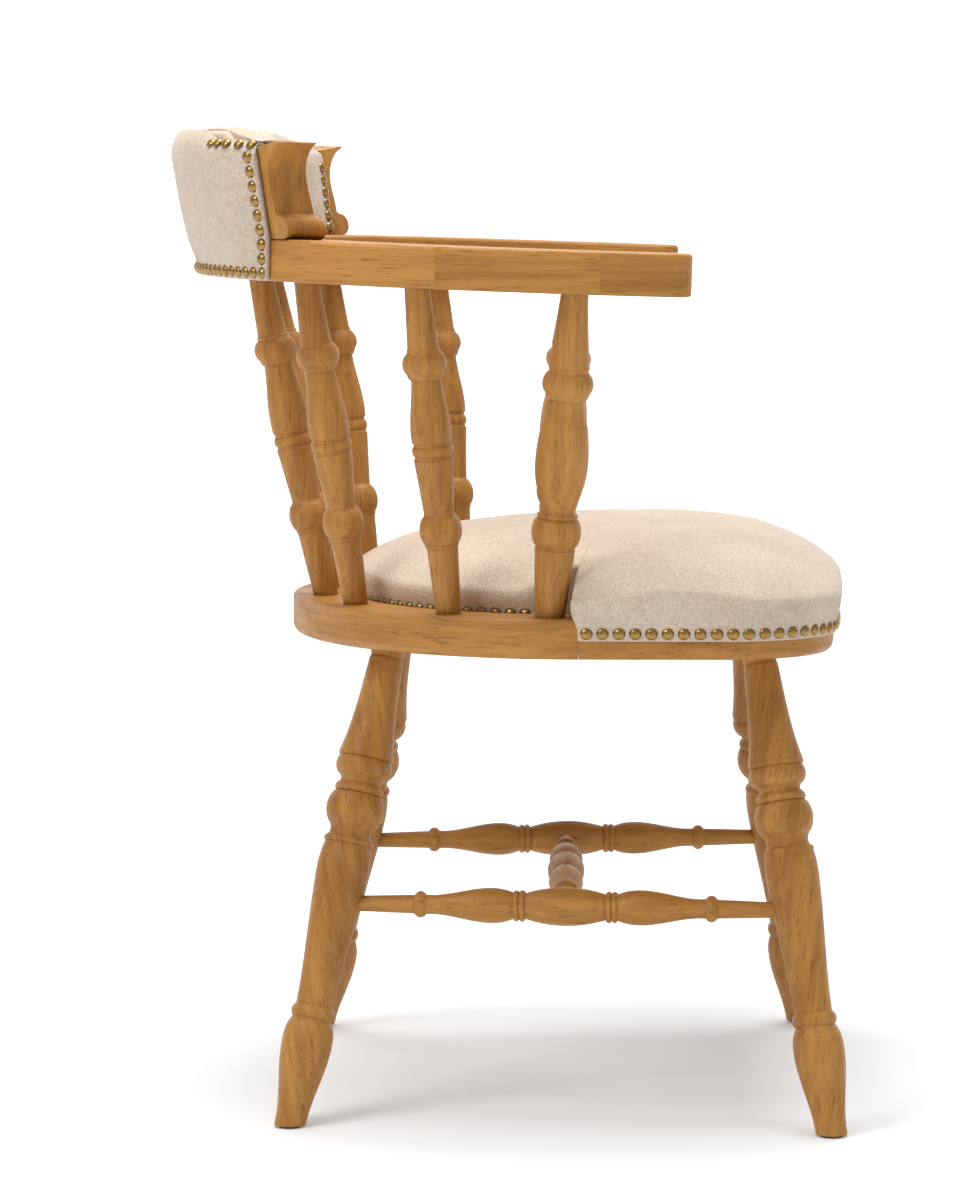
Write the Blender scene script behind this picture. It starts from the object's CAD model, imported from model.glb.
"""Visual model of an upholstered captain's armchair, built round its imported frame."""

from __future__ import annotations

import logging
import math
import random
from dataclasses import dataclass, field
from enum import Enum
from typing import Callable

import bmesh  # noqa: E402
import bpy  # noqa: E402
from mathutils import Matrix, Vector, noise  # noqa: E402


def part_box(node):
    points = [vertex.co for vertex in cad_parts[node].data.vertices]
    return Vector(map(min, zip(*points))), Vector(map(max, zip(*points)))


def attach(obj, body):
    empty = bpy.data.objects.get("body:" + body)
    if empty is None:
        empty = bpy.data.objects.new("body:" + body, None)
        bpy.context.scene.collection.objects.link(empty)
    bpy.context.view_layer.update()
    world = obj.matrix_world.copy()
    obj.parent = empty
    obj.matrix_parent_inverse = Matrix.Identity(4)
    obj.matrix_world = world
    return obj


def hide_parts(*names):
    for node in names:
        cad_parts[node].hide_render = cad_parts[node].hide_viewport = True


log = logging.getLogger("armchair")
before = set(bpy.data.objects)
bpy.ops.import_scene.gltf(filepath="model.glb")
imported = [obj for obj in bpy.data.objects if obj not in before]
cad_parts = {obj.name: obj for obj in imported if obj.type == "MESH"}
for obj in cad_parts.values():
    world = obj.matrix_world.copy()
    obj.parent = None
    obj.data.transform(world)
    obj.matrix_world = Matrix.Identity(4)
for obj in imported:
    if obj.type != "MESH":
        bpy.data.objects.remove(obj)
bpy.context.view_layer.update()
MM = 0.001
RIM_BACK_FROM_MIDDLE = 235 * MM

Seat = tuple[Vector, Vector]
Surface = Callable[[float, float], float]
Section = Callable[[float], list[tuple[float, float]]]


# ------------------------------------------------------------------ shader maths
class Sock:
    """One value or colour in a material's node graph, usable in Python expressions."""

    def __init__(self, graph: "Graph", socket: bpy.types.NodeSocket | None) -> None:
        """Wraps a node's output socket."""
        self.graph = graph
        self.socket = socket

    def _math(self, operation: str, *values: "Sock | float") -> "Sock":
        """A Math node over the values."""
        return self.graph.node("ShaderNodeMath", {"operation": operation}, dict(enumerate(values)))

    def __add__(self, other: "Sock | float") -> "Sock":
        """self + other."""
        return self._math("ADD", self, other)

    def __sub__(self, other: "Sock | float") -> "Sock":
        """self - other."""
        return self._math("SUBTRACT", self, other)

    def __rsub__(self, other: float) -> "Sock":
        """other - self."""
        return self._math("SUBTRACT", other, self)

    def __mul__(self, other: "Sock | float") -> "Sock":
        """self * other."""
        return self._math("MULTIPLY", self, other)

    def __pow__(self, other: float) -> "Sock":
        """self to a power."""
        return self._math("POWER", self, other)

    __radd__ = __add__
    __rmul__ = __mul__

    def clamp(self) -> "Sock":
        """The value held between 0 and 1."""
        return self.graph.node("ShaderNodeClamp", {}, {0: self})

    def step(self, low: float, high: float) -> "Sock":
        """A smooth rise from 0 at low to 1 at high."""
        settings = {"interpolation_type": "SMOOTHSTEP"}
        return self.graph.node("ShaderNodeMapRange", settings, {0: self, 1: low, 2: high})


class Graph:
    """A material's node tree, with one method that adds any node."""

    def __init__(self, name: str) -> None:
        """Starts an empty material.

        Args:
            name: the material's name.
        """
        self.material = bpy.data.materials.new(name)
        self.material.use_nodes = True
        self.tree = self.material.node_tree
        self.tree.nodes.clear()

    def node(self, kind: str, settings: dict, values: dict, output: int | str = 0) -> Sock:
        """Adds a node.

        Args:
            kind: the node's type.
            settings: its properties; "stops" fills a colour ramp.
            values: a number, colour or Sock for each input, by index or name.
            output: which output to wrap.

        Returns:
            The wrapped output, or an empty wrapper for the node that ends the graph.
        """
        made = self.tree.nodes.new(kind)
        for key, value in settings.items():
            if key == "stops":
                ramp = made.color_ramp
                while len(ramp.elements) < len(value):
                    ramp.elements.new(0.5)
                for element, (place, colour) in zip(ramp.elements, value):
                    element.position = place
                    element.color = (*colour, 1.0)
            else:
                setattr(made, key, value)
        for key, value in values.items():
            if isinstance(value, Sock):
                self.tree.links.new(value.socket, made.inputs[key])
            elif isinstance(value, tuple) and len(value) == 3 and made.inputs[key].type == "RGBA":
                made.inputs[key].default_value = (*value, 1.0)
            else:
                made.inputs[key].default_value = value
        return Sock(self, made.outputs[output] if made.outputs else None)

    def mix(self, factor: "Sock | float", first: "Sock | tuple", second: "Sock | tuple") -> Sock:
        """A colour between first and second."""
        settings = {"data_type": "RGBA"}
        return self.node("ShaderNodeMix", settings, {0: factor, 6: first, 7: second}, 2)

    def tint(self, factor: "Sock | float", base: "Sock | tuple", colour: tuple) -> Sock:
        """base multiplied by a colour, by a factor."""
        settings = {"data_type": "RGBA", "blend_type": "MULTIPLY"}
        return self.node("ShaderNodeMix", settings, {0: factor, 6: base, 7: colour}, 2)

    def place(self) -> Sock:
        """The point on the piece, in metres."""
        return self.node("ShaderNodeTexCoord", {}, {}, "Object")

    def around(self, point: Sock, centre: float) -> Sock:
        """Straightens a curved piece, so that a texture can follow it.

        Args:
            point: the point on the piece.
            centre: where the curve's centre is along Y.

        Returns:
            The point as radius, height and distance round the centre.
        """
        usual_radius = 0.28
        x, y, z = (self.node("ShaderNodeSeparateXYZ", {}, {0: point}, k) for k in range(3))
        y = y - centre
        turn = self.node("ShaderNodeMath", {"operation": "ARCTAN2"}, {0: x, 1: y})
        radius = (x ** 2.0 + y ** 2.0) ** 0.5
        return self.node("ShaderNodeCombineXYZ", {}, {0: radius, 1: z, 2: turn * usual_radius})

    def stretched(self, point: Sock, turn: tuple, scale: tuple, shift: tuple = (0, 0, 0)) -> Sock:
        """point moved, turned and scaled, for a texture that runs along a piece."""
        turned = self.node("ShaderNodeMapping", {}, {0: point, 1: shift, 2: turn})
        return self.node("ShaderNodeVectorMath", {"operation": "MULTIPLY"}, {0: turned, 1: scale})

    def noise(self, point: Sock, scale: float, detail: float = 2.0, rough: float = 0.5) -> Sock:
        """A noise value about 0.5."""
        values = {"Vector": point, "Scale": scale, "Detail": detail, "Roughness": rough}
        return self.node("ShaderNodeTexNoise", {}, values)

    def bump(self, height: Sock, distance: float, strength: float) -> Sock:
        """A normal roughened by a height."""
        values = {"Height": height, "Distance": distance, "Strength": strength}
        return self.node("ShaderNodeBump", {}, values)

    def crevice(self, distance: float) -> Sock:
        """1 in the open and 0 deep in a corner, looking this far."""
        return self.node("ShaderNodeAmbientOcclusion", {"samples": 8}, {1: distance}, 1)

    def surface(self, values: dict) -> bpy.types.Material:
        """Ends the graph in a Principled shader.

        Args:
            values: the shader's inputs, by name.

        Returns:
            The finished material.
        """
        shader = self.node("ShaderNodeBsdfPrincipled", {}, values)
        self.node("ShaderNodeOutputMaterial", {}, {"Surface": shader})
        return self.material


# ------------------------------------------------------------------ finishes
class Grain(Enum):
    """Which way the wood's grain runs, as the turn that lays it along texture Z.

    A ROUND grain follows a curved piece; its number is the curve's centre along Y.
    """

    UPRIGHT = (0.0, 0.0, 0.0)
    ACROSS = (0.0, math.pi / 2, 0.0)
    FORE_AND_AFT = (math.pi / 2, 0.0, 0.0)
    LEANS_LEFT_FRONT = (-0.15, 0.22, 0.0)
    LEANS_RIGHT_FRONT = (-0.15, -0.22, 0.0)
    LEANS_LEFT_REAR = (0.2, 0.24, 0.0)
    LEANS_RIGHT_REAR = (0.2, -0.24, 0.0)
    ROUND_BOW = -0.043
    ROUND_SEAT = -0.080


@dataclass(frozen=True)
class WoodFinish:
    """Honey-coloured hardwood: short dark pores, broad figure, greyed hollows."""

    grain: Grain
    shift: float = 0.0
    light: tuple = (0.500, 0.238, 0.052)
    deep: tuple = (0.300, 0.125, 0.020)
    pore: tuple = (0.40, 0.27, 0.16)
    hollow: tuple = (0.34, 0.27, 0.22)
    roughness: float = 0.44
    relief: float = 0.35 * MM
    hollow_reach: float = 7 * MM

    # how fine each mark is across the grain, through it and along it
    figure_scale: tuple = (26.0, 26.0, 3.2)
    band_scale: tuple = (150.0, 150.0, 6.0)
    pore_scale: tuple = (560.0, 560.0, 38.0)
    fleck_scale: tuple = (900.0, 900.0, 90.0)

    def material(self, name: str) -> bpy.types.Material:
        """Makes the wood.

        Args:
            name: the material's name.

        Returns:
            The material.
        """
        g = Graph(name)
        point, turn = g.place(), self.grain.value
        if isinstance(turn, float):
            point, turn = g.around(point, turn), (0.0, 0.0, 0.0)
        shift = (self.shift, 0.37 * self.shift, 0.61 * self.shift)
        broad, banded, fine, fleck = (
            g.stretched(point, turn, scale, shift) for scale in
            (self.figure_scale, self.band_scale, self.pore_scale, self.fleck_scale))
        figure = g.noise(broad, 1.0, 4.0, 0.6).step(0.30, 0.70)
        bands = g.noise(banded, 1.0, 3.0)
        pores = g.noise(fine, 1.0, 2.0, 0.55).step(0.56, 0.72)
        flecks = g.noise(fleck, 1.0)
        colour = g.mix((figure * 0.65 + bands.step(0.35, 0.65) * 0.35), self.deep, self.light)
        colour = g.tint(pores * 0.55, colour, self.pore)
        colour = g.tint(flecks.step(0.5, 0.8) * 0.25, colour, self.pore)
        hollows = (1 - g.crevice(self.hollow_reach)).step(0.18, 0.75)
        colour = g.tint(hollows * 0.8, colour, self.hollow)
        wear = g.noise(point, 34.0, 3.0).step(0.4, 0.75)
        rough = self.roughness + wear * 0.12 + pores * 0.10
        height = pores * -0.6 + flecks * 0.25 + bands * 0.3
        return g.surface({"Base Color": colour, "Roughness": rough,
                          "Normal": g.bump(height, self.relief, 0.5),
                          "Specular IOR Level": 0.32})


@dataclass(frozen=True)
class ClothFinish:
    """Oatmeal chenille: short curled loops of pale and pinkish-brown yarn."""

    pale: tuple = (0.840, 0.725, 0.605)
    dark: tuple = (0.430, 0.330, 0.245)
    tucked: tuple = (0.55, 0.47, 0.40)
    sheen: tuple = (0.95, 0.88, 0.80)
    relief: float = 1.0 * MM
    tuck_reach: float = 12 * MM

    # how fine the loops, their curl, the yarn's hairs, its flecks and the cloth's clouds are
    loop: float = 540.0
    curl: float = 330.0
    curl_reach: float = 3.6 * MM
    hair: float = 2600.0
    fleck: float = 240.0
    cloud: float = 14.0

    def material(self, name: str) -> bpy.types.Material:
        """Makes the cloth.

        Args:
            name: the material's name.

        Returns:
            The material.
        """
        g = Graph(name)
        point = g.place()
        warp = g.node("ShaderNodeTexNoise", {},
                      {"Vector": point, "Scale": self.curl, "Detail": 1.0}, 1)
        bent = g.node("ShaderNodeVectorMath", {"operation": "MULTIPLY_ADD"},
                      {0: warp, 1: (self.curl_reach,) * 3, 2: point})
        cell = g.node("ShaderNodeTexVoronoi", {"feature": "DISTANCE_TO_EDGE"},
                      {"Vector": bent, "Scale": self.loop})
        loops = cell.step(0.02, 0.34)
        hairs = g.noise(point, self.hair, 2.0)
        flecks = g.noise(point, self.fleck, 3.0, 0.6).step(0.3, 0.7)
        clouds = g.noise(point, self.cloud, 2.0).step(0.3, 0.7)
        shade = loops * 0.50 + flecks * 0.18 + hairs * 0.20 + clouds * 0.12
        colour = g.mix(shade.clamp(), self.dark, self.pale)
        tucks = (1 - g.crevice(self.tuck_reach)).step(0.3, 0.9)
        colour = g.tint(tucks * 0.55, colour, self.tucked)
        height = loops * 0.7 + hairs * 0.3
        return g.surface({"Base Color": colour, "Roughness": 0.92,
                          "Normal": g.bump(height, self.relief, 0.6),
                          "Specular IOR Level": 0.15, "Sheen Weight": 0.25,
                          "Sheen Roughness": 0.5, "Sheen Tint": self.sheen})


@dataclass(frozen=True)
class BrassFinish:
    """Antique brass: bright on the dome, brown in the corner under its rim."""

    bright: tuple = (0.36, 0.215, 0.070)
    aged: tuple = (0.10, 0.055, 0.022)
    roughness: float = 0.27
    relief: float = 0.2 * MM
    corner_reach: float = 5 * MM
    spot: float = 420.0

    def material(self, name: str) -> bpy.types.Material:
        """Makes the metal.

        Args:
            name: the material's name.

        Returns:
            The material.
        """
        g = Graph(name)
        spots = g.noise(g.place(), self.spot, 3.0).step(0.42, 0.72)
        corner = (1 - g.crevice(self.corner_reach)).step(0.10, 0.50)
        colour = g.mix((corner + spots * 0.25).clamp(), self.bright, self.aged)
        rough = self.roughness + spots * 0.14 + corner * 0.2
        return g.surface({"Base Color": colour, "Metallic": 1.0, "Roughness": rough,
                          "Normal": g.bump(spots, self.relief, 0.3)})


@dataclass(frozen=True)
class PlainFinish:
    """A small hidden part's moulded or plated surface, with faint marks."""

    colour: tuple
    metallic: float
    rough: float
    mark: float = 160.0
    marked: tuple = (0.7, 0.7, 0.7)

    def material(self, name: str) -> bpy.types.Material:
        """Makes the surface.

        Args:
            name: the material's name.

        Returns:
            The material.
        """
        g = Graph(name)
        marks = g.noise(g.place(), self.mark, 3.0)
        colour = g.tint(marks * 0.5, self.colour, self.marked)
        return g.surface({"Base Color": colour, "Metallic": self.metallic,
                          "Roughness": self.rough + marks * 0.15})


# ------------------------------------------------------------------ mesh helpers
def add_object(name: str, mesh: bpy.types.Mesh, material: bpy.types.Material) -> bpy.types.Object:
    """Puts a mesh in the scene.

    Args:
        name: the object's name.
        mesh: its mesh.
        material: its one material.

    Returns:
        The new object.
    """
    made = bpy.data.objects.new(name, mesh)
    mesh.materials.append(material)
    bpy.context.scene.collection.objects.link(made)
    return made


def smooth(mesh: bpy.types.Mesh) -> None:
    """Shades every face of a mesh smooth."""
    mesh.polygons.foreach_set("use_smooth", [True] * len(mesh.polygons))


def lofted(name: str, rings: list[list[Vector]], closed: bool, caps: bool) -> bpy.types.Mesh:
    """A quad mesh through rings of points.

    Args:
        name: the mesh's name.
        rings: rows of points, each as long as the others.
        closed: whether each ring joins its own start.
        caps: whether the first and last ring are filled.

    Returns:
        The mesh, with its normals outwards.
    """
    bm = bmesh.new()
    rows = [[bm.verts.new(p) for p in ring] for ring in rings]
    count = len(rings[0])
    for low, high in zip(rows, rows[1:]):
        for i in range(count if closed else count - 1):
            j = (i + 1) % count
            bm.faces.new((low[i], low[j], high[j], high[i]))
    if caps:
        bm.faces.new(list(reversed(rows[0])))
        bm.faces.new(rows[-1])
    bmesh.ops.recalc_face_normals(bm, faces=bm.faces)
    mesh = bpy.data.meshes.new(name)
    bm.to_mesh(mesh)
    bm.free()
    smooth(mesh)
    return mesh


def curve_through(points: list[tuple[float, ...]], steps: int) -> list[tuple[float, ...]]:
    """A smooth open curve through points.

    Args:
        points: the points it passes.
        steps: how many pieces each span is split into.

    Returns:
        The curve's points, both ends included.
    """
    padded = [points[0], *points, points[-1]]
    made = []
    for a, b, c, d in zip(padded, padded[1:], padded[2:], padded[3:]):
        for k in range(steps):
            t = k / steps
            made.append(tuple(
                0.5 * (2 * q + (r - p) * t + (2 * p - 5 * q + 4 * r - s) * t * t
                       + (3 * q - p - 3 * r + s) * t ** 3) for p, q, r, s in zip(a, b, c, d)))
    return [*made, points[-1]]


def ease(value: float, low: float, high: float) -> float:
    """A smooth rise from 0 at low to 1 at high."""
    t = min(max((value - low) / (high - low), 0.0), 1.0)
    return t * t * (3 - 2 * t)


def heading(angle: float) -> Vector:
    """The level unit vector at an angle from +X."""
    return Vector((math.cos(angle), math.sin(angle), 0))


def mirrored(point: Vector) -> Vector:
    """A level point or direction on the other side of the chair."""
    return Vector((-point.x, point.y, 0))


def resampled(path: list[Seat], count: int) -> list[Seat]:
    """A path of points and directions, spaced evenly along its length.

    Args:
        path: the points and their outward directions.
        count: how many evenly spaced ones to return.

    Returns:
        The evenly spaced points and directions, both ends included.
    """
    reach = [0.0]
    for (p, _), (q, _) in zip(path, path[1:]):
        reach.append(reach[-1] + (q - p).length)
    made, k = [], 0
    for i in range(count):
        at = reach[-1] * i / (count - 1)
        while k < len(reach) - 2 and reach[k + 1] < at:
            k += 1
        t = (at - reach[k]) / max(reach[k + 1] - reach[k], 1e-9)
        made.append((path[k][0].lerp(path[k + 1][0], t),
                     path[k][1].lerp(path[k + 1][1], t).normalized()))
    return made


# ------------------------------------------------------------------ nails
@dataclass
class NailRow:
    """A row of domed upholstery nails, each seated on a point with an outward direction."""

    name: str
    node: str
    material: bpy.types.Material
    radius: float = 5.05 * MM
    height: float = 3.1 * MM
    tilt: float = 0.05
    slip: float = 0.2 * MM
    seats: list[Seat] = field(default_factory=list)

    SIDES = 20
    # shares of the radius and of the height, from the buried rim to near the tip
    PROFILE = ((0.86, -0.25), (1.0, 0.02), (0.985, 0.14), (0.90, 0.36), (0.74, 0.62),
               (0.52, 0.83), (0.27, 0.96))

    def head(self, bm: bmesh.types.BMesh, pose: Matrix) -> None:
        """Adds one nail's head.

        Args:
            bm: the row's mesh.
            pose: where the nail's rim is centred, with its tip along Z.
        """
        rings = []
        for share, rise in self.PROFILE:
            ring = [heading(2 * math.pi * k / self.SIDES) * self.radius * share
                    for k in range(self.SIDES)]
            up = Vector((0, 0, self.height * rise))
            rings.append([bm.verts.new(pose @ (p + up)) for p in ring])
        tip = bm.verts.new(pose @ Vector((0, 0, self.height)))
        for k in range(self.SIDES):
            j = (k + 1) % self.SIDES
            for low, high in zip(rings, rings[1:]):
                bm.faces.new((low[k], low[j], high[j], high[k]))
            bm.faces.new((rings[-1][k], rings[-1][j], tip))
        bm.faces.new(list(reversed(rings[0])))

    def build(self) -> bpy.types.Object:
        """Makes the row as one piece that stands for its plain nails.

        Returns:
            The row.
        """
        rng = random.Random(len(self.seats) * 31 + len(self.name))
        bm = bmesh.new()
        for spot, out in self.seats:
            wobble = Vector((rng.uniform(-1, 1), rng.uniform(-1, 1), rng.uniform(-1, 1)))
            turn = (out + wobble * self.tilt).to_track_quat("Z", "Y").to_matrix().to_4x4()
            self.head(bm, Matrix.Translation(spot + wobble * self.slip) @ turn)
        mesh = bpy.data.meshes.new(self.name)
        bm.to_mesh(mesh)
        bm.free()
        smooth(mesh)
        piece = add_object(self.name, mesh, self.material)
        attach(piece, "root")
        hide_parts(self.node)
        return piece


# ------------------------------------------------------------------ seat cushion
@dataclass
class SeatPlan:
    """The seat's outline seen from above, in metres about the middle of the seat."""

    half_width: float = 262 * MM
    rear_depth: float = 248.5 * MM
    front: float = -233 * MM
    joint: float = -13.5 * MM
    corner: float = 95 * MM
    rise: float = 17 * MM
    rear_inset: float = 55.3 * MM
    middle: float = -62 * MM
    step_round: float = 5 * MM

    # how many pieces each stretch of the outline is first drawn with
    SIDE_PIECES = 20
    CORNER_PIECES = 40
    FRONT_PIECES = 20
    WELL_PIECES = 120

    def front_path(self, count: int) -> list[Seat]:
        """Points and outward directions round the front rail.

        Args:
            count: how many points.

        Returns:
            The points from the sitter's right joint round the front to the left one.
        """
        sweep = (self.half_width ** 2 + self.rise ** 2) / (2 * self.rise)
        side = self.half_width - self.corner
        turn = math.asin(side / (sweep - self.corner))
        back = self.front + sweep
        centre = Vector((-side, back - (sweep - self.corner) * math.cos(turn), 0))
        start = self.joint - self.step_round
        dense = []
        for i in range(self.SIDE_PIECES):
            y = start + (centre.y - start) * i / self.SIDE_PIECES
            dense.append((Vector((-self.half_width, y, 0)), Vector((-1, 0, 0))))
        for i in range(self.CORNER_PIECES + 1):
            out = heading(math.pi + (math.pi / 2 - turn) * i / self.CORNER_PIECES)
            dense.append((centre + out * self.corner, out))
        for i in range(1, self.FRONT_PIECES + 1):
            out = heading(-math.pi / 2 - turn + turn * i / self.FRONT_PIECES)
            dense.append((Vector((0, back, 0)) + out * sweep, out))
        dense += [(mirrored(p), mirrored(n)) for p, n in reversed(dense[:-1])]
        return resampled(dense, count)

    def rear_path(self, count: int) -> list[Seat]:
        """Points and outward directions inside the rear rim.

        Args:
            count: how many points.

        Returns:
            The points from the sitter's left joint round the back to the right one.
        """
        a, b = self.half_width - self.rear_inset, self.rear_depth - self.rear_inset
        dense = []
        for i in range(self.WELL_PIECES + 1):
            way = heading(math.pi * i / self.WELL_PIECES)
            out = Vector((way.x / a, way.y / b, 0)).normalized()
            dense.append((Vector((a * way.x, self.joint + b * way.y, 0)), out))
        return resampled(dense, count)


@dataclass
class SeatCushion:
    """The domed seat, drawn over the front rail and down inside the rear rim."""

    material: bpy.types.Material
    plan: SeatPlan = field(default_factory=SeatPlan)
    top: float = 493 * MM
    crown: float = 41 * MM
    centre: Vector = field(default_factory=Vector)

    # the dome's half width over the well and how much more over the rail, its reach
    # to the front and to the rear, and where along Y the rail's shape turns into the well's
    well_reach: float = 209 * MM
    rail_extra: float = 57 * MM
    front_reach: float = 174 * MM
    rear_reach: float = 242 * MM
    turn_from: float = -85 * MM
    turn_to: float = 45 * MM
    flatness: float = 3.3
    furthest: float = 1.12

    # the side band: where it starts, how high it is drawn, and the brim's lowest place
    band_from: float = 429 * MM
    band: float = 23 * MM
    lowest_brim: float = 446 * MM
    blend: float = 0.3
    lump: float = 1.0 * MM
    small_lump: float = 0.4 * MM

    # nails: spacing, gap at a row's ends, height of the row, and how far out it stands
    nail_pitch: float = 13.2 * MM
    front_gap: float = 6 * MM
    rear_gap: float = 18 * MM
    front_nail_height: float = 417.3 * MM
    rear_nail_height: float = 427.6 * MM
    nail_out: float = 2.7 * MM
    rear_nail_lean: float = 0.25

    RAIL_POINTS = 380
    WELL_POINTS = 232
    ROUND_PIECES = 8
    STEP_PIECES = 13
    DOME_RINGS = 60
    ROW_POINTS = 2000

    # in millimetres: offset outwards and height of each level, on the rail and in the well
    LEVELS = (
        ((-56.0, 418.2), (-5.0, 418.2)), ((-56.0, 429.2), (-1.5, 418.6)),
        ((0.4, 429.2), (0.0, 419.5)), ((0.4, 411.4), (0.0, 421.5)),
        ((1.4, 410.9), (0.0, 423.5)), ((2.5, 411.4), (0.0, 425.5)),
        ((2.8, 414.0), (0.0, 427.3)), ((2.6, 417.3), (0.0, 429.0)),
        ((3.3, 421.0), (0.3, 431.0)), ((4.7, 426.5), (1.2, 434.5)),
        ((6.0, 433.0), (2.4, 438.5)), ((6.8, 439.5), (3.4, 443.0)),
        ((6.7, 445.5), (3.6, 448.0)), ((5.6, 450.5), (2.6, 453.0)),
    )
    SHARP_LEVELS = 3

    def step(self) -> list[tuple[Vector, Vector, float, float]]:
        """The step beside the sitter's left post, from the rail in to the well.

        Returns:
            Points, outward directions, 1 on the rail or 0 in the well, and bulge.
        """
        plan, made = self.plan, []
        r = plan.step_round
        centre = Vector((plan.half_width - r, plan.joint - r, 0))
        for i in range(1, self.ROUND_PIECES + 1):
            out = heading(math.pi / 2 * i / self.ROUND_PIECES)
            made.append((centre + out * r, out, 1.0, 1.0))
        start, end = made[-1][0], Vector((plan.half_width - plan.rear_inset, plan.joint, 0))
        for i in range(1, self.STEP_PIECES):
            t = i / self.STEP_PIECES
            out = Vector((0.6 * ease(t, 0.6, 1.0), 1, 0)).normalized()
            made.append((start.lerp(end, t), out, 1 - ease(t, 0.45, 1), 1 - 0.9 * ease(t, 0.4, 1)))
        return made

    def ring(self) -> list[tuple[Vector, Vector, float, float]]:
        """The cushion's outline, all the way round.

        Returns:
            Points, outward directions, 1 on the rail or 0 in the well, and bulge.
        """
        made = [(p, n, 1.0, 1.0) for p, n in self.plan.front_path(self.RAIL_POINTS)]
        step = self.step()
        made += step
        for i, (p, n) in enumerate(self.plan.rear_path(self.WELL_POINTS)):
            from_post = min(i, self.WELL_POINTS - 1 - i)
            made.append((p, n, 0.0, 0.1 + 0.9 * ease(from_post, 0, 8)))
        return made + [(mirrored(p), mirrored(n), rail, swell)
                       for p, n, rail, swell in reversed(step)]

    def levels(self) -> list[tuple[float, ...]]:
        """The levels from the underside to the brim.

        Returns:
            The given levels as flat rows, with rounded ones between them above the rail.
        """
        flat = [(*front, *rear) for front, rear in self.LEVELS]
        return flat[:self.SHARP_LEVELS] + curve_through(flat[self.SHARP_LEVELS:], 3)

    def dome(self, x: float, y: float) -> float:
        """Height of the smooth dome over a point of the plan.

        Args:
            x: the point's place across the seat.
            y: its place from the middle of the seat to the rear.

        Returns:
            The height over the floor.
        """
        front = 1 - ease(y, self.turn_from, self.turn_to)
        wide = self.well_reach + self.rail_extra * front
        deep = self.front_reach if y < self.plan.middle else self.rear_reach
        bend = 2.0 + front
        across, along = abs(x) / wide, abs(y - self.plan.middle) / deep
        out = (across ** bend + along ** bend) ** (1 / bend)
        fall = self.flatness + max(1 - front, min(across, 1.0))
        return self.top - self.crown * min(out, self.furthest) ** fall

    def sides(self) -> list[list[Vector]]:
        """The cushion from its underside up to the brim.

        Returns:
            One ring of points for each level.
        """
        ring, made = self.ring(), []
        brim = [max(self.dome(p.x, p.y), self.lowest_brim) for p, _, _, _ in ring]
        for front_out, front_z, rear_out, rear_z in self.levels():
            row = []
            for (p, n, rail, swell), edge in zip(ring, brim):
                out = (front_out * rail + rear_out * (1 - rail)) * MM * swell
                z = (front_z * rail + rear_z * (1 - rail)) * MM
                if z > self.band_from:
                    z = self.band_from + (z - self.band_from) * (edge - self.band_from) / self.band
                row.append(Vector((p.x, p.y, z)) + n * out)
            made.append(row)
        return made

    def cover(self, edge: list[Vector]) -> list[list[Vector]]:
        """The dome inside the brim, slightly lumpy.

        Args:
            edge: the brim's points.

        Returns:
            Rings of points that shrink towards the middle of the seat.
        """
        made, hub = [], Vector((0, self.plan.middle, 0))
        for k in range(1, self.DOME_RINGS):
            t = (1 - k / self.DOME_RINGS) ** 0.8
            inside = ease(1 - t, 0.0, self.blend)
            row = []
            for p in edge:
                spot = hub + (Vector((p.x, p.y, 0)) - hub) * t
                lump = noise.noise(spot * 22) * self.lump + noise.noise(spot * 55) * self.small_lump
                z = self.dome(spot.x, spot.y) + (p.z - self.dome(p.x, p.y)) * (1 - inside)
                row.append(Vector((spot.x, spot.y, z + lump * inside)))
            made.append(row)
        return made

    def build(self) -> bpy.types.Object:
        """Lofts the cushion from its sides and its dome.

        Returns:
            The cushion.
        """
        rows = self.sides()
        rows += self.cover(rows[-1])
        rows = [[p + self.centre for p in row] for row in rows]
        piece = add_object("seat_cushion", lofted("seat_cushion", rows, True, True), self.material)
        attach(piece, "root")
        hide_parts("seat_foam", "seat_cover")
        return piece

    def nail_row(self, path: list[Seat], gap: float, height: float) -> list[Seat]:
        """Evenly spaced places for nails in a level row.

        Args:
            path: the row's line and its outward directions.
            gap: distance from each end of the line to the first nail.
            height: the row's height over the floor.

        Returns:
            The nails' seats.
        """
        run = sum((q - p).length for (p, _), (q, _) in zip(path, path[1:]))
        count = round((run - 2 * gap) / self.nail_pitch) + 1
        fine = resampled(path, self.ROW_POINTS)
        first = round(self.ROW_POINTS * gap / run)
        span = self.ROW_POINTS - 1 - 2 * first
        spots = [fine[first + round(span * i / (count - 1))] for i in range(count)]
        return [(Vector((p.x, p.y, height)) + self.centre, n) for p, n in spots]

    def front_nails(self) -> list[Seat]:
        """Seats of the nails round the front rail.

        Returns:
            The nails' seats.
        """
        path = SeatPlan(step_round=0.0).front_path(self.RAIL_POINTS)
        path = [(p + n * self.nail_out, n) for p, n in path]
        return self.nail_row(path, self.front_gap, self.front_nail_height)

    def rear_nails(self) -> list[Seat]:
        """Seats of the nails inside the rear rim, tipped up a little.

        Returns:
            The nails' seats.
        """
        row = self.nail_row(self.plan.rear_path(self.ROW_POINTS), self.rear_gap,
                            self.rear_nail_height)
        return [(p, (n + Vector((0, 0, self.rear_nail_lean))).normalized()) for p, n in row]


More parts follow.
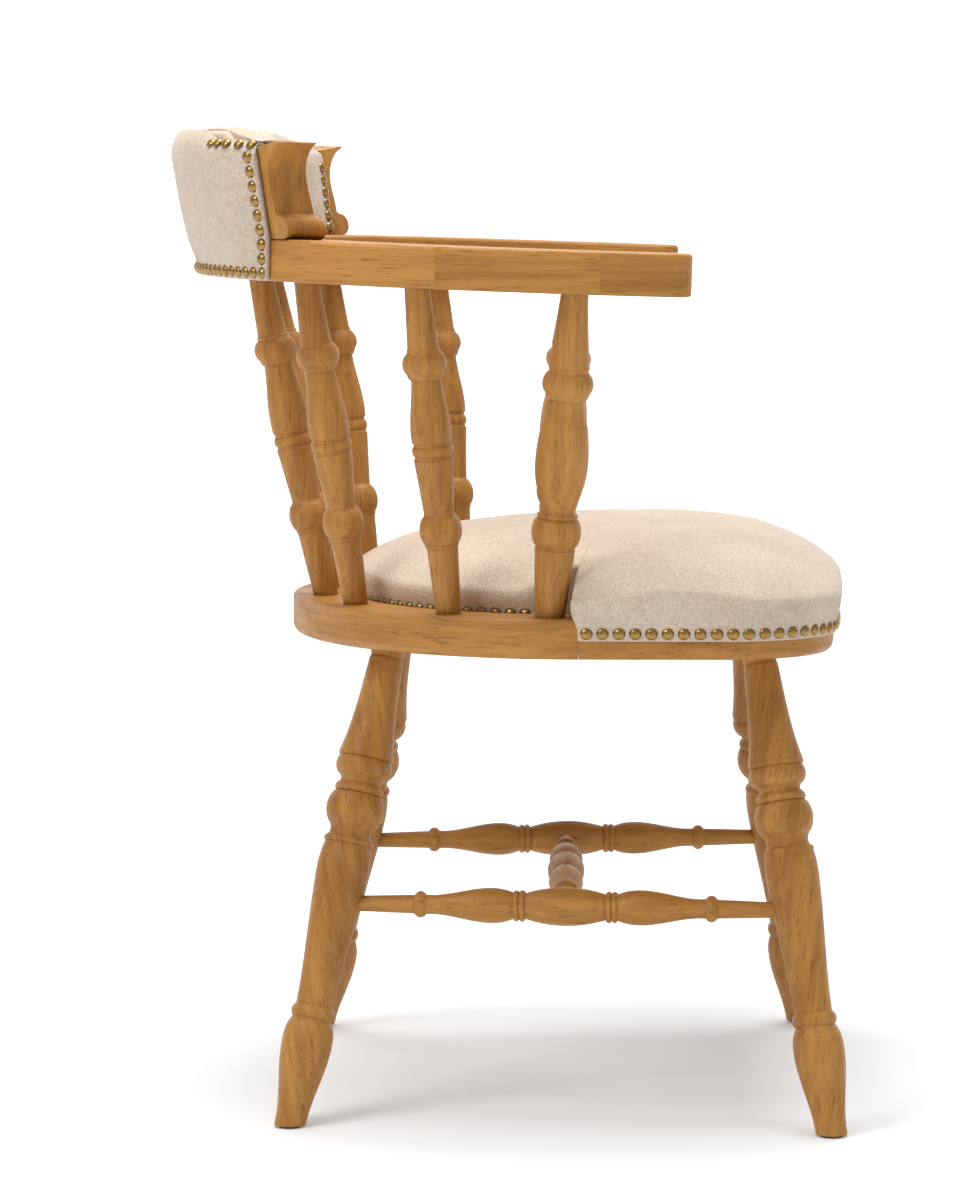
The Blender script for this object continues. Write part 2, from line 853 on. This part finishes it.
# ------------------------------------------------------------------ crest padding
@dataclass
class CrestShape:
    """Places on the crest: radius and angle about the bow's centre, height over the bow."""

    seat_middle: Vector
    half_angle: float = 40.0
    outer: float = 300 * MM
    core: float = 264 * MM
    rake: float = math.tan(math.radians(13))
    seam: float = 309.5 * MM
    thickness: float = 35 * MM
    bow_height: float = 694 * MM
    bow_centre: float = 12 * MM
    bow_slope: float = math.radians(1.9)

    # the rolled top of the back panel, its raise, and where along the crest it rises
    lip: float = 79 * MM
    lip_raise: float = 9.5 * MM
    rise_from: float = 55 * MM
    rise_to: float = 74 * MM

    # the back panel: radius at its foot, lean, belly, edge thickness, flare and lumps
    panel: float = 305 * MM
    panel_lean: float = 28 * MM
    belly: float = 2 * MM
    panel_top: float = 76 * MM
    panel_edge: float = 4.6 * MM
    edge_flare: float = 2.5 * MM
    panel_lump: float = 0.9 * MM
    panel_taper: float = 34 * MM

    # the inner pad: edge thickness, fullness, taper at its ends, crown, droop and lumps
    pad_edge: float = 6.5 * MM
    pad_full: float = 8 * MM
    pad_taper: float = 40 * MM
    pad_lump: float = 1 * MM
    crown: float = 91.5 * MM
    crown_fall: float = 9.5 * MM
    crown_taper: float = 95 * MM
    crown_lump: float = 0.8 * MM

    def place(self, radius: float, angle: float, height: float) -> Vector:
        """A point of the crest in the chair's frame.

        Args:
            radius: distance from the bow's centre.
            angle: degrees from the back, towards the sitter's left.
            height: height over the bow's top.

        Returns:
            The point.
        """
        a, slope = math.radians(angle), self.bow_slope
        y, up = self.bow_centre + radius * math.cos(a), height + self.thickness
        return self.seat_middle + Vector((
            radius * math.sin(a), y * math.cos(slope) - up * math.sin(slope),
            self.bow_height + y * math.sin(slope) + up * math.cos(slope)))

    def from_end(self, angle: float) -> float:
        """Distance along the crest to its nearer end."""
        return math.radians(self.half_angle - abs(angle)) * self.outer

    def rise(self, angle: float) -> float:
        """0 near the crest's ends and 1 over its raised middle."""
        return ease(self.from_end(angle), self.rise_from, self.rise_to)

    def lip_at(self, angle: float) -> float:
        """Height of the back panel's rolled top, highest in the middle of the crest."""
        return self.lip + self.lip_raise * self.rise(angle)

    def back(self, angle: float, height: float) -> float:
        """Radius of the back panel's face.

        Args:
            angle: degrees from the back.
            height: height over the bow's top.

        Returns:
            The radius, thin at the nailed edges and full in the middle.
        """
        host = self.outer + max(height, 0.0) * self.rake
        up = height + self.thickness
        share = up / (self.panel_top + self.thickness)
        swell = self.belly * math.sin(math.pi * min(max(share, 0), 1))
        full = self.panel + self.panel_lean * share + swell
        spread = ease(self.from_end(angle), 1 * MM, self.panel_taper)
        lift = ease(up, 2 * MM, 30 * MM)
        thin = host + self.panel_edge + self.edge_flare * share
        face = thin + (full - thin) * spread * (0.35 + 0.65 * lift)
        arc = math.radians(angle) * self.outer
        return face + noise.noise(Vector((arc * 22, height * 22, 3))) * self.panel_lump * spread

    def face(self, angle: float, height: float) -> float:
        """Radius of the inner pad's face.

        Args:
            angle: degrees from the back.
            height: height over the bow's top.

        Returns:
            The radius.
        """
        spread = ease(self.from_end(angle), 1 * MM, self.pad_taper)
        low = ease(height, -4 * MM, 26 * MM)
        thick = self.pad_edge + self.pad_full * spread * (0.25 + 0.75 * low)
        arc = math.radians(angle) * self.core
        lump = noise.noise(Vector((arc * 24, height * 24, 9))) * self.pad_lump * spread
        return self.core - thick + height * self.rake * (1 - 0.3 * spread) + lump

    def ridge(self, angle: float) -> float:
        """Height of the padded crown.

        Args:
            angle: degrees from the back.

        Returns:
            The height over the bow's top, lower towards the crest's ends.
        """
        arc = math.radians(angle) * self.core
        fall = self.crown_fall * (1 - ease(self.from_end(angle), 2 * MM, self.crown_taper))
        return self.crown - fall + noise.noise(Vector((arc * 20, 2, 5))) * self.crown_lump

    def facing(self, surface: Surface, angle: float, height: float, inwards: bool) -> Seat:
        """A point on a face and its outward direction.

        Args:
            surface: gives the face's radius for an angle and a height.
            angle: degrees from the back.
            height: height over the bow's top.
            inwards: whether the face looks at the sitter.

        Returns:
            The point and its direction.
        """
        up_step, turn_step = 2.5 * MM, 0.5
        spot = self.place(surface(angle, height), angle, height)
        above, beside = height + up_step, angle + turn_step
        up = self.place(surface(angle, above), angle, above) - spot
        side = self.place(surface(beside, height), beside, height) - spot
        out = up.cross(side).normalized()
        away = self.place(self.outer + 1, angle, height) - spot
        if (out.dot(away) < 0) != inwards:
            out.negate()
        return spot, out


@dataclass
class CrestPadding:
    """The two upholstered pads of the crest, and the places of their nails."""

    shape: CrestShape
    material: bpy.types.Material

    # the back panel: foot, top of its flat face, roll, and dip behind the raised lip
    foot: float = -35 * MM
    shoulder: float = 65 * MM
    roll: float = 11 * MM
    dip: float = 11.5 * MM
    tuck: float = 0.9 * MM

    # nails: spacing, gap at the ends, lowest and highest of each upright row
    nail_pitch: float = 11.7 * MM
    nail_gap: float = 5.4 * MM
    back_rows: tuple = (-29 * MM, 66 * MM)
    inner_rows: tuple = (7 * MM, 60 * MM)
    row_turns_from: float = 53.5 * MM
    row_turns_to: float = 60 * MM

    # in millimetres: heights at which each face is drawn
    BACK_HEIGHTS = (-33, -30, -26, -21, -15, -8, 0, 8, 17, 26, 35, 44, 53, 60, 65)
    INNER_HEIGHTS = (3, 10, 18, 27, 36, 46, 55, 63)
    SLICES = 220

    def back_section(self, angle: float) -> list[tuple[float, float]]:
        """The back panel's section at an angle.

        Args:
            angle: degrees from the back.

        Returns:
            Radius and height of each point.
        """
        s = self.shape
        rise = [(s.back(angle, self.foot) - 2.2 * MM, self.foot),
                (s.back(angle, self.foot + 1 * MM) - 0.5 * MM, self.foot + 0.6 * MM)]
        rise += [(s.back(angle, h * MM), h * MM) for h in self.BACK_HEIGHTS]
        r, base, top = s.back(angle, self.shoulder), self.shoulder + 1 * MM, s.lip_at(angle)
        for turn in (20, 40, 60, 80):
            a = math.radians(turn)
            rise.append((r - self.roll * (1 - math.cos(a)), base + (top - base) * math.sin(a)))
        dip = s.rise(angle) * self.dip
        rise += [(s.seam + 6.5 * MM, top - 0.55 * dip), (s.seam + 2.5 * MM, top - dip)]
        lip = [(s.seam + 0.4 * MM, top - dip - 0.3 * MM), (s.seam + 0.2 * MM, 76.4 * MM)]
        inner = [(317.9 * MM, 76.4 * MM), (300.4 * MM, 0.5 * MM), (300.4 * MM, -34.6 * MM)]
        return curve_through(rise, 3) + lip + inner

    def inner_section(self, angle: float) -> list[tuple[float, float]]:
        """The inner pad's section at an angle.

        Args:
            angle: degrees from the back.

        Returns:
            Radius and height of each point.
        """
        s = self.shape
        top, lip = s.ridge(angle), s.lip_at(angle)
        face = [(s.face(angle, h * MM), h * MM) for h in self.INNER_HEIGHTS]
        foot, r = face[0][0], face[-1][0]
        crown = [(r + 3.5 * MM, 72.5 * MM), (r + 10 * MM, top - 6 * MM),
                 (r + 19 * MM, top - 1.2 * MM), (r + 30 * MM, top), (r + 42 * MM, top - 2 * MM),
                 (s.seam - 7 * MM, (top + lip * 2) / 3 - 1.5 * MM),
                 (s.seam - 2 * MM, lip - 3.5 * MM), (s.seam - 0.4 * MM, 77.2 * MM)]
        inner = [(s.seam - 0.4 * MM, 76.4 * MM), (281.2 * MM, 76.4 * MM), (263.7 * MM, 0.4 * MM),
                 (foot + 3 * MM, 0.4 * MM), (foot + 0.6 * MM, 1.0 * MM)]
        return curve_through(face + crown, 5) + inner

    def slice_at(self, points: list[tuple[float, float]], angle: float) -> list[Vector]:
        """A section laid into the chair, drawn in a little at the crest's ends.

        Args:
            points: radius and height of each point.
            angle: degrees from the back.

        Returns:
            The section's points in the chair's frame.
        """
        tuck = (1 - ease(self.shape.from_end(angle), -0.8 * MM, 2.6 * MM)) * self.tuck
        mid_r = sum(r for r, _ in points) / len(points)
        mid_h = sum(h for _, h in points) / len(points)
        made = []
        for r, h in points:
            away = math.hypot(r - mid_r, h - mid_h)
            k = 1 - tuck / max(away, 1e-6)
            made.append(self.shape.place(mid_r + (r - mid_r) * k, angle, mid_h + (h - mid_h) * k))
        return made

    def pad(self, name: str, section: Section, nodes: tuple[str, ...]) -> bpy.types.Object:
        """Sweeps a section along the crest into one padded piece.

        Args:
            name: the piece's name.
            section: gives the section's points for an angle.
            nodes: the plain solids that the piece stands for.

        Returns:
            The piece.
        """
        end = self.shape.half_angle
        near, first = (0.0, 0.12, 0.4), 0.9
        angles = [-end + a for a in near]
        angles += [-end + first + 2 * (end - first) * i / self.SLICES
                   for i in range(self.SLICES + 1)]
        angles += [end - a for a in reversed(near)]
        rings = [self.slice_at(section(a), a) for a in angles]
        piece = add_object(name, lofted(name, rings, True, True), self.material)
        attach(piece, "root")
        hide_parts(*nodes)
        return piece

    def build(self) -> list[bpy.types.Object]:
        """Makes both pads.

        Returns:
            The back panel and the inner pad.
        """
        return [self.pad("crest_back_panel", self.back_section,
                         ("crest_back_foam", "crest_back_cover")),
                self.pad("crest_inner_pad", self.inner_section,
                         ("crest_inner_foam", "crest_inner_cover"))]

    def spread(self, low: float, high: float, pitch: float) -> list[float]:
        """Evenly spaced values from low to high, about a pitch apart."""
        count = max(round((high - low) / pitch), 1)
        return [low + (high - low) * i / count for i in range(count + 1)]

    def top_nail(self, angle: float) -> Seat:
        """Seat of a nail of the top row, which runs level along the seam.

        Args:
            angle: degrees from the back.

        Returns:
            The nail's seat.
        """
        s = self.shape
        outer = 1 - ease(s.from_end(angle), self.row_turns_from, self.row_turns_to)
        out = s.back(angle, self.shoulder) - s.seam - 7.5 * MM
        r = s.seam + 4 * MM + out * outer
        h = s.lip_at(angle) - 2.2 * MM * outer - 11.3 * MM * s.rise(angle)
        away = s.place(r + 0.9 * outer, angle, h + 1.0) - s.place(r, angle, h)
        return s.place(r, angle, h), away.normalized()

    def nails(self) -> dict[str, list[Seat]]:
        """Seats of the crest's nails.

        Returns:
            The seats, by the node they stand for.
        """
        s = self.shape
        last = s.half_angle - math.degrees(self.nail_gap / s.outer)
        along = self.spread(-last, last, math.degrees(self.nail_pitch / s.outer))
        back = [s.facing(s.back, a, self.back_rows[0], False) for a in along]
        inner = []
        for side in (-last, last):
            back += [s.facing(s.back, side, h, False)
                     for h in self.spread(*self.back_rows, self.nail_pitch)[1:]]
            inner += [s.facing(s.face, side, h, True)
                      for h in self.spread(*self.inner_rows, self.nail_pitch)]
        return {"crest_back_nails": back, "crest_top_nails": [self.top_nail(a) for a in along],
                "crest_inner_nails": inner}


# ------------------------------------------------------------------ wooden frame and fittings
@dataclass
class WoodFrame:
    """Gives every carried-over node of the chair its finish."""

    finishes: dict[str, bpy.types.Material] = field(default_factory=dict)

    def wood(self, grain: Grain, shift: float = 0.0) -> bpy.types.Material:
        """The wood whose grain runs one way, made once.

        Args:
            grain: the way it runs.
            shift: how far its figure is moved, so that neighbours differ.

        Returns:
            The material.
        """
        name = f"golden_wood_{grain.name.lower()}_{int(shift * 10)}"
        if name not in self.finishes:
            self.finishes[name] = WoodFinish(grain, shift).material(name)
        return self.finishes[name]

    def grain_of(self, node: str) -> tuple[Grain, float]:
        """Which grain a node has, from what it is.

        Args:
            node: the node's name.

        Returns:
            The grain and the shift of its figure.
        """
        left = "left" in node
        if node.startswith("leg_front"):
            return (Grain.LEANS_LEFT_FRONT if left else Grain.LEANS_RIGHT_FRONT), 0.0
        if node.startswith("leg_rear"):
            return (Grain.LEANS_LEFT_REAR if left else Grain.LEANS_RIGHT_REAR), 0.5
        for starts, grain, shift in (
                ("spindle", Grain.UPRIGHT, 0.0), ("arm_post", Grain.UPRIGHT, 0.0),
                ("side_stretcher", Grain.FORE_AND_AFT, 0.3), ("arm_front", Grain.ROUND_BOW, 0.3),
                ("arm_middle", Grain.ROUND_BOW, 1.7), ("bow_back", Grain.ROUND_BOW, 2.9),
                ("crest_end", Grain.UPRIGHT, 0.8), ("seat_front_rail", Grain.ROUND_SEAT, 3.3),
                ("seat_rear_rim", Grain.ROUND_SEAT, 2.1)):
            if node.startswith(starts):
                return grain, shift
        return Grain.ACROSS, 0.6

    def build(self, small: dict[str, bpy.types.Material]) -> int:
        """Puts a finish on each node that still shows.

        Args:
            small: materials of the fittings, by node.

        Returns:
            How many nodes were finished.
        """
        count = 0
        for name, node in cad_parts.items():
            if node.hide_render:
                continue
            material = small.get(name) or self.wood(*self.grain_of(name))
            node.data.materials.clear()
            node.data.materials.append(material)
            count += 1
        return count


# ------------------------------------------------------------------ studio
@dataclass
class Studio:
    """A white room with a pale floor, big soft lights and the camera."""

    camera_at: tuple = (-3.839, -0.0576, 0.783)
    yaw: float = 0.0210
    dip: float = 0.0943
    lens: float = 132.4
    sensor: float = 36.0
    floor_size: float = 30.0
    floor_tone: float = 0.80
    floor_glow: float = 0.13
    far_glow: float = 0.36
    wall_glow: float = 0.75
    world_light: float = 0.47
    aim: tuple = (0.0, 0.0, 0.45)

    # name, place, size, power and colour
    LAMPS = (("key_light", (-1.9, 2.0, 3.0), 1.5, 46.0, (1.0, 0.985, 0.96)),
             ("top_light", (0.1, 0.0, 3.1), 1.6, 76.0, (1.0, 1.0, 1.0)),
             ("fill_light", (-2.8, -2.2, 1.3), 1.8, 5.0, (1.0, 1.0, 1.0)))
    WALL = ((6, -9, -1), (6, -9, 7), (6, 9, 7), (6, 9, -1))

    def sheet(self, name: str, corners: tuple, material: bpy.types.Material) -> None:
        """A flat four-cornered piece of the room, which isn't part of the chair.

        Args:
            name: the piece's name.
            corners: its corners in order.
            material: its material.
        """
        mesh = bpy.data.meshes.new(name)
        mesh.from_pydata([Vector(c) for c in corners], [], [(0, 1, 2, 3)])
        add_object(name, mesh, material)

    def floor(self) -> None:
        """A plain pale floor that glows more the further it is from the chair."""
        g = Graph("pale_floor")
        point = g.place()
        tone = g.noise(point, 0.6, 2.0) * 0.01 + self.floor_tone
        away = g.node("ShaderNodeVectorMath", {"operation": "LENGTH"}, {0: point}, 1)
        glow = away.step(0.25, 2.6) * self.far_glow + self.floor_glow
        grey = [g.node("ShaderNodeCombineColor", {}, {0: v * 0.985, 1: v, 2: v * 1.02})
                for v in (tone, glow)]
        material = g.surface({"Base Color": grey[0], "Roughness": 0.9, "Specular IOR Level": 0.1,
                              "Emission Color": grey[1], "Emission Strength": 1.0})
        half = self.floor_size / 2
        self.sheet("floor", ((-half, -half, 0), (half, -half, 0), (half, half, 0),
                             (-half, half, 0)), material)

    def backdrop(self) -> None:
        """A glowing white wall on the far side of the chair."""
        material = Graph("white_backdrop").surface({
            "Base Color": (0.8, 0.8, 0.8), "Roughness": 1.0,
            "Emission Color": (1.0, 1.0, 1.0), "Emission Strength": self.wall_glow})
        self.sheet("backdrop", self.WALL, material)

    def lamp(self, name: str, at: tuple, size: float, power: float, tint: tuple) -> None:
        """A square area light aimed at the chair.

        Args:
            name: the light's name.
            at: its place.
            size: the length of its side.
            power: its strength in watts.
            tint: its colour.
        """
        data = bpy.data.lights.new(name, "AREA")
        data.size, data.energy, data.color = size, power, tint
        lamp = bpy.data.objects.new(name, data)
        lamp.location = at
        towards = Vector(self.aim) - Vector(at)
        lamp.rotation_euler = towards.to_track_quat("-Z", "Y").to_euler()
        bpy.context.scene.collection.objects.link(lamp)

    def camera(self) -> None:
        """The camera, level with the crest and looking slightly down at the chair's side."""
        data = bpy.data.cameras.new("camera")
        data.lens, data.sensor_width = self.lens, self.sensor
        camera = bpy.data.objects.new("camera", data)
        camera.location = self.camera_at
        look = heading(self.yaw) * math.cos(self.dip) - Vector((0, 0, math.sin(self.dip)))
        camera.rotation_euler = look.to_track_quat("-Z", "Y").to_euler()
        bpy.context.scene.collection.objects.link(camera)
        bpy.context.scene.camera = camera

    def build(self) -> None:
        """Makes the floor, wall, lights, world and camera."""
        self.floor()
        self.backdrop()
        for lamp in self.LAMPS:
            self.lamp(*lamp)
        world = bpy.data.worlds.new("white_room")
        bpy.context.scene.world = world
        world.use_nodes = True
        background = world.node_tree.nodes["Background"]
        background.inputs["Color"].default_value = (1.0, 1.0, 1.0, 1.0)
        background.inputs["Strength"].default_value = self.world_light
        self.camera()
        bpy.context.scene.view_settings.view_transform = "Standard"


def main() -> None:
    """Builds the chair's looks piece by piece."""
    logging.basicConfig(level=logging.INFO, format="%(asctime)s %(name)s: %(message)s")
    rim_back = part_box("seat_rear_rim")[1].y
    middle = Vector((0.0, rim_back - RIM_BACK_FROM_MIDDLE, 0.0))
    cloth = ClothFinish().material("oatmeal_fabric")
    brass = BrassFinish().material("nail_brass")
    cushion = SeatCushion(cloth, centre=middle)
    log.info("%s", cushion.build().name)
    padding = CrestPadding(CrestShape(middle), cloth)
    for piece in padding.build():
        log.info("%s", piece.name)
    rows = {"seat_front_nails": cushion.front_nails(), "seat_rear_nails": cushion.rear_nails(),
            **padding.nails()}
    for node, seats in rows.items():
        name = node.replace("_nails", "_nail_row")
        log.info("%s", NailRow(name, node, brass, seats=seats).build().name)
    steel = PlainFinish((0.55, 0.55, 0.56), 1.0, 0.3).material("screw_steel")
    nylon = PlainFinish((0.035, 0.032, 0.03), 0.0, 0.5).material("glide_nylon")
    board = PlainFinish((0.42, 0.29, 0.17), 0.0, 0.7).material("seat_plywood")
    small = {"foot_glides": nylon, "crest_screws": steel, "seat_board_screws": steel,
             "seat_board": board}
    log.info("%d nodes finished", WoodFrame().build(small))
    Studio().build()


if __name__ == "__main__":
    main()
